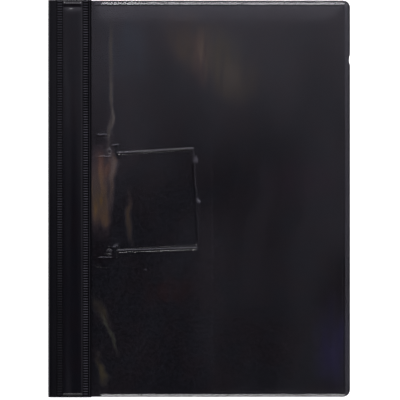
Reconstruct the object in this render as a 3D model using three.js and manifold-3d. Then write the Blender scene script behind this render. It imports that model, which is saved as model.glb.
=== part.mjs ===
// A4 clip folder, closed and lying on its back cover, in millimetres with Z up.
// X runs from the spine (left) to the fore edge (right), Y from the foot to the head.
// The origin is under the middle of the folder, on the face that it rests on.
import * as THREE from "three";
import { mergeVertices } from "three/addons/utils/BufferGeometryUtils.js";
import Module from "manifold-3d";

// Covers and film
const folderWidth = 236;
const folderHeight = 310;
const coverThickness = 0.8;
const filmThickness = 0.4;
const cornerRadius = 5.5;

// Round fold at the spine, and the running gap to the front that turns about it
const foldLip = 2;
const foldSteps = 20;
const hingeClearance = 0.3;

// Front flap, measured from the spine edge, with its two ribbed weld bands
const flapWidth = 34;
const leftWeldStart = 6.8;
const leftWeldWidth = 4.8;
const rightWeldStart = 27;
const rightWeldWidth = 5.2;
const ribPitch = 2;
const ribHeight = 0.3;
const ribBed = 0.06;
const ribFlat = 0.6;
const ribValley = 0.6;

// Label pocket between the weld bands
const pocketFilm = 0.25;
const pocketBow = 0.35;
const pocketFoot = 1;
const pocketMargin = 0.1;
const pocketEndInset = 1.5;
const pocketClosedEnd = 2.5;

// Clear front sheet: where it stops short of the back cover, its welded rim and its slope
const sheetRightInset = 1.3;
const sheetHeadInset = 0.8;
const sheetUnderFlap = 7;
const foreEdgeDrop = 1.2;
const rimWidth = 4.3;
const rimRise = 0.38;
const rimRound = 1.6;
const rimInnerShare = 0.5;
const rimSink = 0.02;
const rimFlapGap = 0.6;

// Pocket for loose sheets inside the back cover
const innerPocketWidth = 104.5;
const innerPocketMargin = 4;
const innerPocketFilm = 0.3;

// Clip base: a stamped strip with two raised pads, each with a tongue and a curled knuckle
const stripThickness = 0.8;
const stripWidth = 13;
const stripLength = 104.5;
const stripCorner = 3;
const stripFromFlap = 3;
const clipCentreY = -2.25;
const lugSpacing = 78.9;
const lugLength = 9.2;
const padWidth = 11.4;
const padRise = 0.9;
const padDraft = 0.7;
const tongueReach = 6.2;
const knuckleLength = 3;
const pivotFromStrip = 3;
const curlEndDeg = 205;

// Wire bail, sitting slightly askew in its knuckles
const wireDiameter = 2.6;
const pinClearance = 0.2;
const pinOverhang = 0.6;
const bailReach = 62.3;
const bailSpan = 75.8;
const bailSkewDeg = 3.2;
const bailBend = 2.8;
const restGap = 0.3;

// Rivets that hold the clip base to the back cover
const rivetFromPivot = 5.4;
const rivetShank = 1.6;
const rivetHead = 2.7;
const rivetDome = 0.9;
const rivetTail = 2.8;
const rivetTailThickness = 0.32;
const rivetTailSunk = 0.08;
const rivetHoleClearance = 0.3;

// Small nick in the fore edge of the back cover
const nickFromHead = 42.5;
const nickLength = 8;
const nickDepth = 0.8;

// Fineness of round forms
const arcSteps = 10;
const wireSides = 12;
const turnSides = 32;
const bendSteps = 6;
const rimArcSteps = 5;
const rimRoundSteps = 3;
const mergeDistance = 1e-4;

// Places worked out from the sizes above
const left = -folderWidth / 2;
const right = folderWidth / 2;
const head = folderHeight / 2;
const foot = -folderHeight / 2;
const wireRadius = wireDiameter / 2;
const knuckleBore = wireRadius + pinClearance;
const knuckleRadius = knuckleBore + stripThickness;
const stripLeft = left + flapWidth + stripFromFlap;
const stripRight = stripLeft + stripWidth;
const stripTop = coverThickness + stripThickness;
const padTop = stripTop + padRise;
const tongueUnder = padTop - stripThickness;
const tongueRoot = stripRight - 2 * padDraft;
const pivotX = stripRight + pivotFromStrip;
const pivotZ = padTop + knuckleBore;
const rivetX = pivotX - rivetFromPivot;
const sheetLeft = left + flapWidth - sheetUnderFlap;
const sheetRight = right - sheetRightInset;
const sheetCorner = cornerRadius - sheetRightInset / 2;
const sheetSlope = foreEdgeDrop / (sheetRight - sheetLeft);
const knuckleTop = pivotZ + knuckleRadius;
const flapUnder = knuckleTop + restGap + filmThickness + sheetSlope * (pivotX - sheetLeft);
const spineDepth = flapUnder + coverThickness;
const foldRadius = spineDepth / 2;
const hingeX = left + foldRadius;
const hingeZ = foldRadius;
const rivetHole = rivetShank + rivetHoleClearance;

const wasm = await Module();
wasm.setup();

// Closed mesh to solid, with only positions kept and shared vertices merged
function toSolid(geometry) {
  const bare = geometry.clone();
  bare.deleteAttribute("normal");
  bare.deleteAttribute("uv");
  const merged = mergeVertices(bare, mergeDistance);
  const triVerts = new Uint32Array(merged.index.array);
  const vertProperties = merged.attributes.position.array;
  return new wasm.Manifold(new wasm.Mesh({ numProp: 3, vertProperties, triVerts }));
}

// Solid back to a mesh geometry
function toGeometry(solid) {
  const mesh = solid.getMesh();
  const geometry = new THREE.BufferGeometry();
  geometry.setAttribute("position", new THREE.BufferAttribute(mesh.vertProperties, 3));
  geometry.setIndex(new THREE.BufferAttribute(mesh.triVerts, 1));
  geometry.computeVertexNormals();
  return geometry;
}

// Outline in plan, raised from one height to another
function plate(shape, bottom, top) {
  const options = { depth: top - bottom, bevelEnabled: false, curveSegments: arcSteps };
  return new THREE.ExtrudeGeometry(shape, options).translate(0, 0, bottom);
}

// Section drawn in X and Z, carried along Y
function alongY(section, from, to) {
  const options = { depth: to - from, bevelEnabled: false, curveSegments: foldSteps };
  const basis = new THREE.Matrix4().makeBasis(
    new THREE.Vector3(1, 0, 0),
    new THREE.Vector3(0, 0, 1),
    new THREE.Vector3(0, -1, 0),
  );
  return new THREE.ExtrudeGeometry(section, options).applyMatrix4(basis).translate(0, to, 0);
}

// Section drawn in Y and Z, carried along X
function alongX(section, from, to) {
  const options = { depth: to - from, bevelEnabled: false };
  const basis = new THREE.Matrix4().makeBasis(
    new THREE.Vector3(0, 1, 0),
    new THREE.Vector3(0, 0, 1),
    new THREE.Vector3(1, 0, 0),
  );
  return new THREE.ExtrudeGeometry(section, options).applyMatrix4(basis).translate(from, 0, 0);
}

// Box between two corners
function box(x0, x1, y0, y1, z0, z1) {
  const geometry = new THREE.BoxGeometry(x1 - x0, y1 - y0, z1 - z0);
  return geometry.translate((x0 + x1) / 2, (y0 + y1) / 2, (z0 + z1) / 2);
}

// Upright cylinder between two heights
function post(x, y, radius, bottom, top) {
  const geometry = new THREE.CylinderGeometry(radius, radius, top - bottom, turnSides);
  return geometry.rotateX(Math.PI / 2).translate(x, y, (bottom + top) / 2);
}

// Sheet outline with square corners at the left and round ones at the right
function sheetOutline(x0, x1, y0, y1, radius) {
  const shape = new THREE.Shape();
  shape.moveTo(x0, y0);
  shape.lineTo(x1 - radius, y0);
  shape.absarc(x1 - radius, y0 + radius, radius, -Math.PI / 2, 0, false);
  shape.lineTo(x1, y1 - radius);
  shape.absarc(x1 - radius, y1 - radius, radius, 0, Math.PI / 2, false);
  shape.lineTo(x0, y1);
  shape.closePath();
  return shape;
}

// Outline with all four corners round
function roundedOutline(x0, x1, y0, y1, radius) {
  const shape = new THREE.Shape();
  shape.moveTo(x0 + radius, y0);
  shape.lineTo(x1 - radius, y0);
  shape.absarc(x1 - radius, y0 + radius, radius, -Math.PI / 2, 0, false);
  shape.lineTo(x1, y1 - radius);
  shape.absarc(x1 - radius, y1 - radius, radius, 0, Math.PI / 2, false);
  shape.lineTo(x0 + radius, y1);
  shape.absarc(x0 + radius, y1 - radius, radius, Math.PI / 2, Math.PI, false);
  shape.lineTo(x0, y0 + radius);
  shape.absarc(x0 + radius, y0 + radius, radius, Math.PI, Math.PI * 1.5, false);
  return shape;
}

// Centres of the two lugs along the strip
const lugCentres = [clipCentreY + lugSpacing / 2, clipCentreY - lugSpacing / 2];

// Back cover: flat panel that turns up into the round fold and ends in a short lip
function makeBackCover() {
  const panel = sheetOutline(hingeX, right, foot, head, cornerRadius);
  const fold = new THREE.Shape();
  const inner = foldRadius - coverThickness;
  fold.moveTo(hingeX + foldLip, 0);
  fold.lineTo(hingeX, 0);
  fold.absarc(hingeX, hingeZ, foldRadius, -Math.PI / 2, Math.PI / 2, true);
  fold.lineTo(hingeX + foldLip, spineDepth);
  fold.lineTo(hingeX + foldLip, flapUnder);
  fold.lineTo(hingeX, flapUnder);
  fold.absarc(hingeX, hingeZ, inner, Math.PI / 2, -Math.PI / 2, false);
  fold.lineTo(hingeX + foldLip, coverThickness);
  fold.closePath();
  let cover = toSolid(plate(panel, 0, coverThickness)).add(toSolid(alongY(fold, foot, head)));
  const nick = new THREE.Shape();
  const nickTop = head - nickFromHead;
  nick.moveTo(right + nickDepth, nickTop);
  nick.lineTo(right, nickTop);
  nick.quadraticCurveTo(right - nickDepth * 2, nickTop - nickLength / 2, right, nickTop - nickLength);
  nick.lineTo(right + nickDepth, nickTop - nickLength);
  nick.closePath();
  cover = cover.subtract(toSolid(plate(nick, -coverThickness, coverThickness * 2)));
  for (const y of lugCentres) {
    const recessTop = rivetTailSunk + rivetTailThickness;
    const recess = post(rivetX, y, rivetTail + rivetHoleClearance, -coverThickness, recessTop);
    cover = cover.subtract(toSolid(recess));
    cover = cover.subtract(toSolid(post(rivetX, y, rivetHole, 0, flapUnder)));
  }
  return toGeometry(cover);
}

// Pocket film lying on the inside of the back cover
function makeInnerPocket() {
  const x1 = right - innerPocketMargin;
  const y1 = head - innerPocketMargin;
  const outline = sheetOutline(x1 - innerPocketWidth, x1, -y1, y1, cornerRadius - sheetRightInset);
  return plate(outline, coverThickness, coverThickness + innerPocketFilm);
}

// Raised pad with drafted sides, as an outer or an inner form
function padForm(centre, inset, bottom, top) {
  const draft = new THREE.Shape();
  const x0 = stripRight - padWidth + inset;
  const x1 = stripRight - inset;
  const run = padDraft;
  draft.moveTo(x0, bottom);
  draft.lineTo(x1, bottom);
  draft.lineTo(x1 - run, top);
  draft.lineTo(x0 + run, top);
  draft.closePath();
  const half = lugLength / 2 - inset;
  const cross = new THREE.Shape();
  cross.moveTo(centre - half, bottom);
  cross.lineTo(centre + half, bottom);
  cross.lineTo(centre + half - run, top);
  cross.lineTo(centre - half + run, top);
  cross.closePath();
  const lengthways = toSolid(alongY(draft, centre - half, centre + half));
  return lengthways.intersect(toSolid(alongX(cross, x0, x1)));
}

// Knuckle: the tongue's outer half, curled up and over round the pin
function makeKnuckle(from, to) {
  const curl = new THREE.Shape();
  const end = THREE.MathUtils.degToRad(curlEndDeg);
  const tongueStart = stripRight - padDraft;
  curl.moveTo(tongueStart, pivotZ - knuckleRadius);
  curl.lineTo(pivotX, pivotZ - knuckleRadius);
  curl.absarc(pivotX, pivotZ, knuckleRadius, -Math.PI / 2, end, false);
  curl.lineTo(pivotX + knuckleBore * Math.cos(end), pivotZ + knuckleBore * Math.sin(end));
  curl.absarc(pivotX, pivotZ, knuckleBore, end, -Math.PI / 2, true);
  curl.lineTo(tongueStart, padTop);
  curl.closePath();
  return toSolid(alongY(curl, from, to));
}

// Clip base: strip, pads, tongues and knuckles stamped from one sheet
function makeClipBase() {
  const half = stripLength / 2;
  const strip = roundedOutline(stripLeft, stripRight, clipCentreY - half, clipCentreY + half, stripCorner);
  let base = toSolid(plate(strip, coverThickness, stripTop));
  for (const centre of lugCentres) {
    const outward = Math.sign(centre - clipCentreY);
    const edge = centre + (outward * lugLength) / 2;
    const inside = edge - outward * knuckleLength;
    const y0 = centre - lugLength / 2;
    const y1 = centre + lugLength / 2;
    const tongue = box(tongueRoot, stripRight + tongueReach, y0, y1, tongueUnder, padTop);
    const knuckleSpace = box(
      pivotX,
      right,
      Math.min(edge, inside) - (outward < 0 ? restGap : 0),
      Math.max(edge, inside) + (outward > 0 ? restGap : 0),
      0,
      flapUnder,
    );
    base = base.add(padForm(centre, 0, coverThickness, padTop));
    base = base.add(toSolid(tongue).subtract(toSolid(knuckleSpace)));
    base = base.add(makeKnuckle(Math.min(edge, inside), Math.max(edge, inside)));
    base = base.subtract(padForm(centre, stripThickness, 0, tongueUnder));
    base = base.subtract(toSolid(post(rivetX, centre, rivetHole, 0, flapUnder)));
  }
  return toGeometry(base);
}

// Rivet: domed head on the pad, shank, and a flat tail sunk into the outside of the cover
function makeRivet(y) {
  const tailTop = rivetTailSunk + rivetTailThickness;
  const profile = [
    new THREE.Vector2(0, rivetTailSunk),
    new THREE.Vector2(rivetTail, rivetTailSunk),
    new THREE.Vector2(rivetTail, tailTop),
    new THREE.Vector2(rivetShank, tailTop),
    new THREE.Vector2(rivetShank, padTop),
  ];
  for (let step = 0; step <= bendSteps; step += 1) {
    const angle = (step / bendSteps) * (Math.PI / 2);
    profile.push(new THREE.Vector2(rivetHead * Math.cos(angle), padTop + rivetDome * Math.sin(angle)));
  }
  profile[profile.length - 1].x = 0;
  const turned = new THREE.LatheGeometry(profile, turnSides).rotateX(Math.PI / 2);
  return toGeometry(toSolid(turned.translate(rivetX, y, 0)));
}

// Path through given corners, each rounded to the same bend radius
function bentPath(corners, radius) {
  const points = [corners[0]];
  for (let i = 1; i < corners.length - 1; i += 1) {
    const corner = corners[i];
    const back = corners[i - 1].clone().sub(corner).normalize();
    const ahead = corners[i + 1].clone().sub(corner).normalize();
    const half = back.angleTo(ahead) / 2;
    const reach = radius / Math.tan(half);
    const middle = back.clone().add(ahead).normalize();
    const centre = corner.clone().addScaledVector(middle, radius / Math.sin(half));
    const start = corner.clone().addScaledVector(back, reach).sub(centre);
    const end = corner.clone().addScaledVector(ahead, reach).sub(centre);
    const axis = start.clone().cross(end).normalize();
    const sweep = start.angleTo(end);
    for (let step = 0; step <= bendSteps; step += 1) {
      points.push(start.clone().applyAxisAngle(axis, (sweep * step) / bendSteps).add(centre));
    }
  }
  points.push(corners[corners.length - 1]);
  return points;
}

// Curve that visits each point of a path at even steps of its parameter
class PointPath extends THREE.Curve {
  constructor(points) {
    super();
    this.points = points;
  }

  getPoint(t, target = new THREE.Vector3()) {
    const place = THREE.MathUtils.clamp(t, 0, 1) * (this.points.length - 1);
    const index = Math.min(Math.floor(place), this.points.length - 2);
    return target.lerpVectors(this.points[index], this.points[index + 1], place - index);
  }

  getUtoTmapping(u) {
    return u;
  }
}

// Bail: a pin in each knuckle, two arms and the bar that presses on the sheets
function makeBail() {
  const skew = THREE.MathUtils.degToRad(bailSkewDeg);
  const half = bailSpan / 2;
  const restZ = coverThickness + restGap + wireRadius;
  const farthest = bailReach * Math.cos(skew) + half * Math.sin(skew);
  const fall = (pivotZ - restZ) / farthest;
  const at = (reach, across) => {
    const x = pivotX + reach * Math.cos(skew) - across * Math.sin(skew);
    const y = clipCentreY + reach * Math.sin(skew) + across * Math.cos(skew);
    return new THREE.Vector3(x, y, pivotZ - fall * (x - pivotX));
  };
  const atPivot = (side) => at(side * half * Math.tan(skew), side * half);
  const pinEnd = (side) => {
    const y = clipCentreY + side * (lugSpacing / 2 + lugLength / 2 + pinOverhang);
    return new THREE.Vector3(pivotX, y, pivotZ);
  };
  const corners = [
    pinEnd(1),
    atPivot(1),
    at(bailReach, half),
    at(bailReach, -half),
    atPivot(-1),
    pinEnd(-1),
  ];
  const points = bentPath(corners, bailBend);
  const round = new THREE.Shape();
  round.absarc(0, 0, wireRadius, 0, Math.PI * 2, false);
  const options = {
    steps: points.length - 1,
    curveSegments: wireSides,
    extrudePath: new PointPath(points),
  };
  return new THREE.ExtrudeGeometry(round, options);
}

// Ribbed weld band: a row of low teeth along the whole height of the flap
function makeWeldBand(from, to) {
  const bed = spineDepth + ribBed;
  const crest = spineDepth + ribHeight;
  const count = Math.floor(folderHeight / ribPitch);
  const start = -(count * ribPitch) / 2;
  const ramp = (ribPitch - ribFlat - ribValley) / 2;
  const teeth = new THREE.Shape();
  teeth.moveTo(start, spineDepth - coverThickness / 2);
  teeth.lineTo(-start, spineDepth - coverThickness / 2);
  teeth.lineTo(-start, bed);
  for (let tooth = count - 1; tooth >= 0; tooth -= 1) {
    const low = start + tooth * ribPitch + ribValley / 2;
    const high = low + ramp;
    teeth.lineTo(high + ribFlat + ramp, bed);
    teeth.lineTo(high + ribFlat, crest);
    teeth.lineTo(high, crest);
    teeth.lineTo(low, bed);
  }
  teeth.lineTo(start, bed);
  teeth.closePath();
  return toSolid(alongX(teeth, from, to));
}

// Front flap: strip with its end cut to clear the fold as it turns, and both weld bands
function makeFrontFlap() {
  const sweep = Math.hypot(foldRadius, foldLip) + hingeClearance;
  const startTop = hingeX + Math.sqrt(sweep ** 2 - foldRadius ** 2);
  const startUnder = hingeX + Math.sqrt(sweep ** 2 - (foldRadius - coverThickness) ** 2);
  const section = new THREE.Shape();
  section.moveTo(startUnder, flapUnder);
  section.lineTo(left + flapWidth, flapUnder);
  section.lineTo(left + flapWidth, spineDepth);
  section.lineTo(startTop, spineDepth);
  section.closePath();
  const leftBand = makeWeldBand(left + leftWeldStart, left + leftWeldStart + leftWeldWidth);
  const rightBand = makeWeldBand(left + rightWeldStart, left + rightWeldStart + rightWeldWidth);
  return toGeometry(toSolid(alongY(section, foot, head)).add(leftBand).add(rightBand));
}

// Label pocket: bowed film over the flap, open at the head and closed at the foot
function makeLabelPocket() {
  const x0 = left + leftWeldStart + leftWeldWidth + pocketMargin;
  const x1 = left + rightWeldStart - pocketMargin;
  const middle = (x0 + x1) / 2;
  const top = spineDepth + pocketFilm;
  const outside = (shape) => {
    shape.moveTo(x1, spineDepth);
    shape.lineTo(x1, top);
    shape.lineTo(x1 - pocketFoot, top);
    shape.quadraticCurveTo(middle, top + pocketBow * 2, x0 + pocketFoot, top);
    shape.lineTo(x0, top);
    shape.lineTo(x0, spineDepth);
  };
  const film = new THREE.Shape();
  outside(film);
  film.lineTo(x0 + pocketFoot, spineDepth);
  film.quadraticCurveTo(middle, spineDepth + pocketBow * 2, x1 - pocketFoot, spineDepth);
  film.closePath();
  const closedEnd = new THREE.Shape();
  outside(closedEnd);
  closedEnd.closePath();
  const y0 = foot + pocketEndInset;
  const pocket = toSolid(alongY(film, y0, head - pocketEndInset));
  return toGeometry(pocket.add(toSolid(alongY(closedEnd, y0, y0 + pocketClosedEnd))));
}

// Raised rim that runs round the head, fore edge and foot of the front sheet
function makeRim(x0, x1, y0, y1) {
  const radius = sheetCorner;
  const inner = radius * rimInnerShare;
  const shape = new THREE.Shape();
  shape.moveTo(x0, y0);
  shape.lineTo(x1 - radius, y0);
  shape.absarc(x1 - radius, y0 + radius, radius, -Math.PI / 2, 0, false);
  shape.lineTo(x1, y1 - radius);
  shape.absarc(x1 - radius, y1 - radius, radius, 0, Math.PI / 2, false);
  shape.lineTo(x0, y1);
  shape.lineTo(x0, y1 - rimWidth);
  shape.lineTo(x1 - rimWidth - inner, y1 - rimWidth);
  shape.absarc(x1 - rimWidth - inner, y1 - rimWidth - inner, inner, Math.PI / 2, 0, true);
  shape.lineTo(x1 - rimWidth, y0 + rimWidth + inner);
  shape.absarc(x1 - rimWidth - inner, y0 + rimWidth + inner, inner, 0, -Math.PI / 2, true);
  shape.lineTo(x0, y0 + rimWidth);
  shape.closePath();
  const options = {
    depth: rimSink,
    curveSegments: rimArcSteps,
    bevelThickness: rimRise,
    bevelSize: rimRound,
    bevelOffset: -rimRound,
    bevelSegments: rimRoundSteps,
  };
  return new THREE.ExtrudeGeometry(shape, options).translate(0, 0, -rimSink);
}

// Front sheet: flat film with its rim, then sloped down towards the fore edge
function makeFrontSheet() {
  const y1 = head - sheetHeadInset;
  const film = plate(sheetOutline(sheetLeft, sheetRight, foot, y1, sheetCorner), -filmThickness, 0);
  const rim = makeRim(left + flapWidth + rimFlapGap, sheetRight, foot, y1);
  const sheet = toGeometry(toSolid(film).add(toSolid(rim)));
  const slope = new THREE.Matrix4().set(
    1, 0, 0, 0,
    0, 1, 0, 0,
    -sheetSlope, 0, 1, flapUnder + sheetSlope * sheetLeft,
    0, 0, 0, 1,
  );
  return sheet.applyMatrix4(slope);
}

const blackFilm = new THREE.MeshStandardMaterial({ color: 0x1b1b1e, roughness: 0.35, metalness: 0 });
const clearFilm = new THREE.MeshStandardMaterial({
  color: 0xd8dcde,
  roughness: 0.12,
  metalness: 0,
  transparent: true,
  opacity: 0.25,
});
const blackSteel = new THREE.MeshStandardMaterial({ color: 0x121214, roughness: 0.3, metalness: 0.6 });

const folder = new THREE.Group();

function addPiece(name, geometry, material) {
  const piece = new THREE.Mesh(geometry, material.clone());
  piece.name = name;
  folder.add(piece);
}

addPiece("back_cover", makeBackCover(), blackFilm);
addPiece("inner_pocket", makeInnerPocket(), clearFilm);
addPiece("clip_base", makeClipBase(), blackSteel);
addPiece("rivet_head_end", makeRivet(lugCentres[0]), blackSteel);
addPiece("rivet_foot_end", makeRivet(lugCentres[1]), blackSteel);
addPiece("clip_bail", makeBail(), blackSteel);
addPiece("front_flap", makeFrontFlap(), blackFilm);
addPiece("label_pocket", makeLabelPocket(), clearFilm);
addPiece("front_sheet", makeFrontSheet(), clearFilm);

export default folder;
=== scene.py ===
"""Looks of a closed A4 clip folder: black vinyl cover, clear films, ribbed weld bands and a wire clip."""

import logging
import math
from dataclasses import dataclass
from enum import Enum
from typing import Callable

import bmesh
import bpy
import numpy as np
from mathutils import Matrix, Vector


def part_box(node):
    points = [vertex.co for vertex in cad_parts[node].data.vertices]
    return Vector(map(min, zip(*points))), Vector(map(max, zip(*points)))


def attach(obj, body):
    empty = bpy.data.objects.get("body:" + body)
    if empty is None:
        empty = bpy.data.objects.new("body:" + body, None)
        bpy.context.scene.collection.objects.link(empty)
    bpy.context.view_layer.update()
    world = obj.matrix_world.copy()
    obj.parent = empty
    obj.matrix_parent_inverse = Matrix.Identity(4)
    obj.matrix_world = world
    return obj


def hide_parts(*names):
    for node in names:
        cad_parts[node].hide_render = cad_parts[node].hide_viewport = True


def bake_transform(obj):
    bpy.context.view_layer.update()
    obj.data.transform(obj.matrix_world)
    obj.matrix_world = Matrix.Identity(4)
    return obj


LOG = logging.getLogger("clip_folder")
MM = 0.001
PHOTO_PIXELS = 400
PHOTO_CENTRE = (199.2, 198.55)
MM_PER_PIXEL = 0.782

SKIN_GAP = 0.02 * MM

Array = np.ndarray
Pair = tuple[float, float]
Point = tuple[float, float, float]
Colour = tuple[float, float, float, float]


def photo_point(px: float, py: float) -> Pair:
    """Place in the folder's plan, in metres, of a pixel of the photograph."""
    return ((px - PHOTO_CENTRE[0]) * MM_PER_PIXEL * MM, (PHOTO_CENTRE[1] - py) * MM_PER_PIXEL * MM)


def steps(*stretches: tuple[float, float, int]) -> Array:
    """Joins stretches of evenly spaced values into one rising or falling row.

    Args:
        stretches: start, end and number of intervals of each stretch, in order.

    Returns:
        The values, with each shared end written once.
    """
    rows = [np.linspace(start, end, count + 1)[:-1] for start, end, count in stretches]
    return np.concatenate([*rows, [stretches[-1][1]]])


def bell(distance: Array, width: float) -> Array:
    """Smooth hump of height 1: e to the power of minus the squared distance over the squared width."""
    return np.exp(-((distance / width) ** 2))


def ramp(value: Array, low: float, high: float) -> Array:
    """Smooth step from 0 at low to 1 at high: three t squared less two t cubed."""
    share = np.clip((value - low) / (high - low), 0.0, 1.0)
    return share * share * (3.0 - 2.0 * share)


def corner_edge(across: Array, half_height: float, centre: float, edge: float, radius: float) -> Array:
    """Right edge of an outline with round corners: the edge less what a circle of that radius leaves off.

    Args:
        across: places along Y.
        half_height: half the outline's height.
        centre: the outline's middle along Y.
        edge: the outline's right edge on its straight stretch.
        radius: the corners' radius.

    Returns:
        The edge's X at each place.
    """
    short = np.clip(radius - (half_height - np.abs(across - centre)), 0.0, radius)
    return edge - (radius - np.sqrt(radius**2 - short**2))


def mesh_of(name: str, points: Array, faces: Array) -> bpy.types.Object:
    """Puts points and equal-sided faces into a new mesh object at the origin.

    Args:
        name: the piece's name.
        points: an array of shape (n, 3) in metres.
        faces: an array of shape (m, 3) or (m, 4) of point numbers.

    Returns:
        The new object, linked to the scene and shaded smooth.
    """
    mesh = bpy.data.meshes.new(name)
    sides = faces.shape[1]
    mesh.vertices.add(len(points))
    mesh.vertices.foreach_set("co", np.ascontiguousarray(points, np.float32).ravel())
    mesh.loops.add(faces.size)
    mesh.loops.foreach_set("vertex_index", np.ascontiguousarray(faces, np.int32).ravel())
    mesh.polygons.add(len(faces))
    mesh.polygons.foreach_set("loop_start", np.arange(0, faces.size, sides, dtype=np.int32))
    mesh.polygons.foreach_set("use_smooth", np.ones(len(faces), bool))
    mesh.update(calc_edges=True)
    piece = bpy.data.objects.new(name, mesh)
    bpy.context.scene.collection.objects.link(piece)
    return piece


def quads(rows: int, columns: int, offset: int = 0) -> Array:
    """Faces of a grid numbered row by row: each joins a point, its right, its upper right and its upper neighbour."""
    first = (np.arange(rows - 1)[:, None] * columns + np.arange(columns - 1)[None, :]).ravel() + offset
    return np.stack([first, first + 1, first + columns + 1, first + columns], axis=1)


def sheet_body(name: str, upper: Array, lower: Array) -> bpy.types.Object:
    """Closed sheet between two grids of equal size: both faces and a strip of quads round the border.

    Args:
        name: the piece's name.
        upper: points of the outer face, shape (rows, columns, 3), anticlockwise seen from outside.
        lower: points of the inner face, in the same order.

    Returns:
        The new object.
    """
    rows, columns = upper.shape[:2]
    count = rows * columns
    index = np.arange(count).reshape(rows, columns)
    border = np.concatenate([index[0, :-1], index[:-1, -1], index[-1, :0:-1], index[:0:-1, 0]])
    after = np.roll(border, -1)
    strip = np.stack([after, border, border + count, after + count], axis=1)
    faces = np.concatenate([quads(rows, columns), quads(rows, columns, count)[:, ::-1], strip])
    points = np.concatenate([upper.reshape(-1, 3), lower.reshape(-1, 3)])
    return mesh_of(name, points, faces)


def tube_body(name: str, rings: Array) -> bpy.types.Object:
    """Closed tube through rings of points, with a fan of triangles about the middle of each end ring.

    Args:
        name: the piece's name.
        rings: points of shape (rings, sides, 3), one ring after the other.

    Returns:
        The new object.
    """
    count, sides = rings.shape[:2]
    around = np.arange(sides)
    beyond = np.roll(around, -1)
    base = np.arange(count - 1)[:, None] * sides
    lower, upper = (base + around).ravel(), (base + beyond).ravel()
    first = np.stack([lower, upper, upper + sides], axis=1)
    second = np.stack([lower, upper + sides, lower + sides], axis=1)
    start, end = count * sides, count * sides + 1
    last = (count - 1) * sides
    caps = [
        np.stack([np.full(sides, start), beyond, around], axis=1),
        np.stack([np.full(sides, end), around + last, beyond + last], axis=1),
    ]
    middles = np.stack([rings[0].mean(axis=0), rings[-1].mean(axis=0)])
    points = np.concatenate([rings.reshape(-1, 3), middles])
    return mesh_of(name, points, np.concatenate([first, second, *caps]))


class Term:
    """A shader value: wraps one output socket, so that maths on it is written as Python expressions."""

    def __init__(self, tree: bpy.types.NodeTree, socket: bpy.types.NodeSocket) -> None:
        """Keeps the tree and the socket."""
        self.tree = tree
        self.socket = socket

    def _math(self, operation: str, first: "Term | float", second: "Term | float") -> "Term":
        """Adds one Math node on two values.

        Args:
            operation: the node's operation.
            first: the first value, a Term or a number.
            second: the second value.

        Returns:
            The result.
        """
        node = self.tree.nodes.new("ShaderNodeMath")
        node.operation = operation
        for place, value in enumerate((first, second)):
            if isinstance(value, Term):
                self.tree.links.new(value.socket, node.inputs[place])
            else:
                node.inputs[place].default_value = value
        return Term(self.tree, node.outputs[0])

    def __add__(self, other: "Term | float") -> "Term":
        """Sum."""
        return self._math("ADD", self, other)

    def __sub__(self, other: "Term | float") -> "Term":
        """Difference."""
        return self._math("SUBTRACT", self, other)

    def __rsub__(self, other: float) -> "Term":
        """Difference from a number."""
        return self._math("SUBTRACT", other, self)

    def __mul__(self, other: "Term | float") -> "Term":
        """Product."""
        return self._math("MULTIPLY", self, other)

    def __pow__(self, other: float) -> "Term":
        """Power."""
        return self._math("POWER", self, other)

    def sine(self) -> "Term":
        """Sine of an angle in radians."""
        return self._math("SINE", self, 0.0)

    def over(self, other: "Term | float") -> "Term":
        """The larger of two values."""
        return self._math("MAXIMUM", self, other)

    def under(self, other: "Term | float") -> "Term":
        """The smaller of two values."""
        return self._math("MINIMUM", self, other)

    __radd__ = __add__
    __rmul__ = __mul__


@dataclass(frozen=True)
class ReflectionAndDustSpot:
    """One soft patch of colour on the clear film, given by its pixel in the photograph: most are painted reflections
    and painted highlights, and one is a dust speck.

    The radii are in pixels, the lean turns the patch clockwise in degrees, and the veil is how much it covers.
    """

    pixel: Pair
    radii: Pair
    colour: Colour
    veil: float
    lean: float = 0.0


class Nodes:
    """One node tree, emptied first, with one method that adds any node."""

    def __init__(self, tree: bpy.types.NodeTree) -> None:
        """Empties the tree and keeps it."""
        self.tree = tree
        self.tree.nodes.clear()

    def add(self, kind: str, output: int | str = 0, settings: dict | None = None, **inputs: object) -> Term:
        """Adds one node.

        Args:
            kind: the node's type without its ShaderNode prefix.
            output: the output socket to return.
            settings: properties that are set before the sockets.
            inputs: values or Terms by socket name, with underscores for spaces; a key such as i0 is a number.

        Returns:
            The chosen output.
        """
        node = self.tree.nodes.new("ShaderNode" + kind)
        for key, value in (settings or {}).items():
            setattr(node, key, value)
        for key, value in inputs.items():
            numbered = key[0] == "i" and key[1:].isdigit()
            socket = node.inputs[int(key[1:])] if numbered else node.inputs[key.replace("_", " ")]
            if isinstance(value, Term):
                self.tree.links.new(value.socket, socket)
            else:
                socket.default_value = value
        return Term(self.tree, node.outputs[output])

    def close(self, surface: Term, kind: str) -> None:
        """Links the surface to a new output node of that kind."""
        output = self.tree.nodes.new("ShaderNode" + kind)
        self.tree.links.new(surface.socket, output.inputs["Surface"])


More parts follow.
